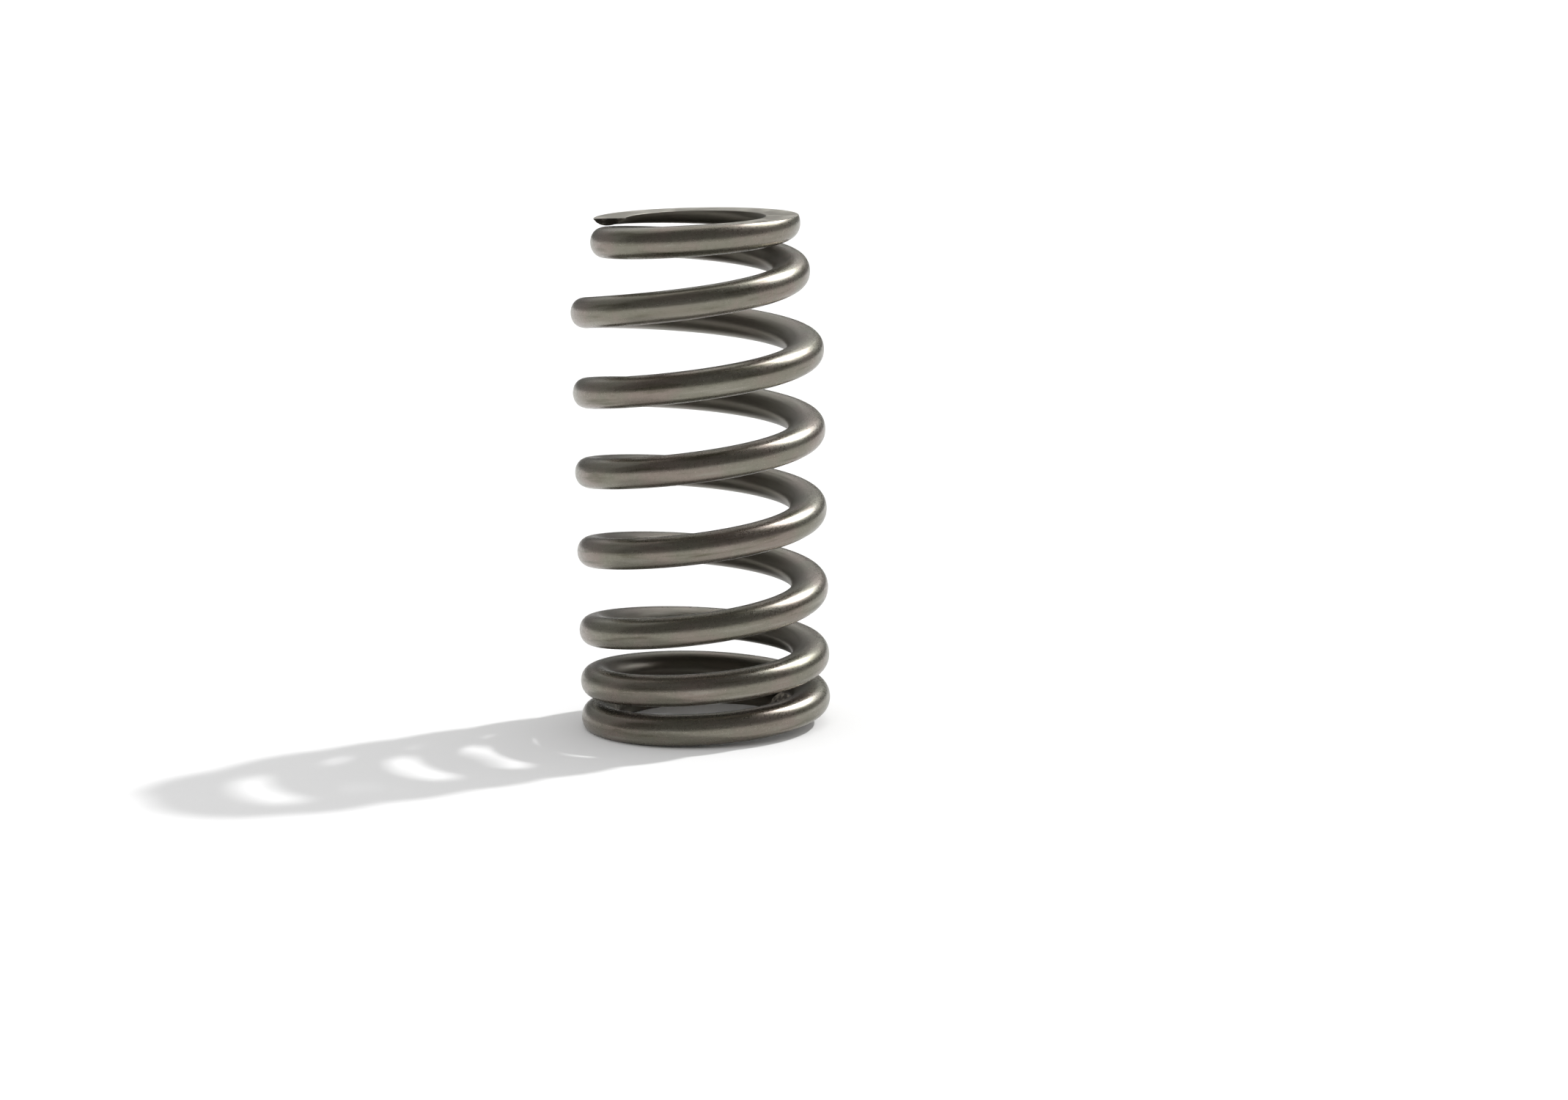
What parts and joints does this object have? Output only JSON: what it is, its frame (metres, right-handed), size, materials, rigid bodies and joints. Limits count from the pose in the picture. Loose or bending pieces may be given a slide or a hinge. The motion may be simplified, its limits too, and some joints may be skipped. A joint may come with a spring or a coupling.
{
  "type": "engine valve spring",
  "caption": "Beehive compression spring of egg-section wire with closed, ground ends, which holds an engine valve shut.",
  "frame": {"origin": "centre of the coil in the plane of the wide ground end, which the spring stands on", "axes": "+Z along the coil's axis from the wide end to the narrow end, +X to the right of the view in the picture"},
  "size_m": [0.0282, 0.0282, 0.0575],
  "materials": {
    "spring_steel": "shot-peened and tempered wire, ground end faces"
  },
  "bodies": {
    "root": {"valve_spring": "spring_steel"}
  },
  "joints": []
}
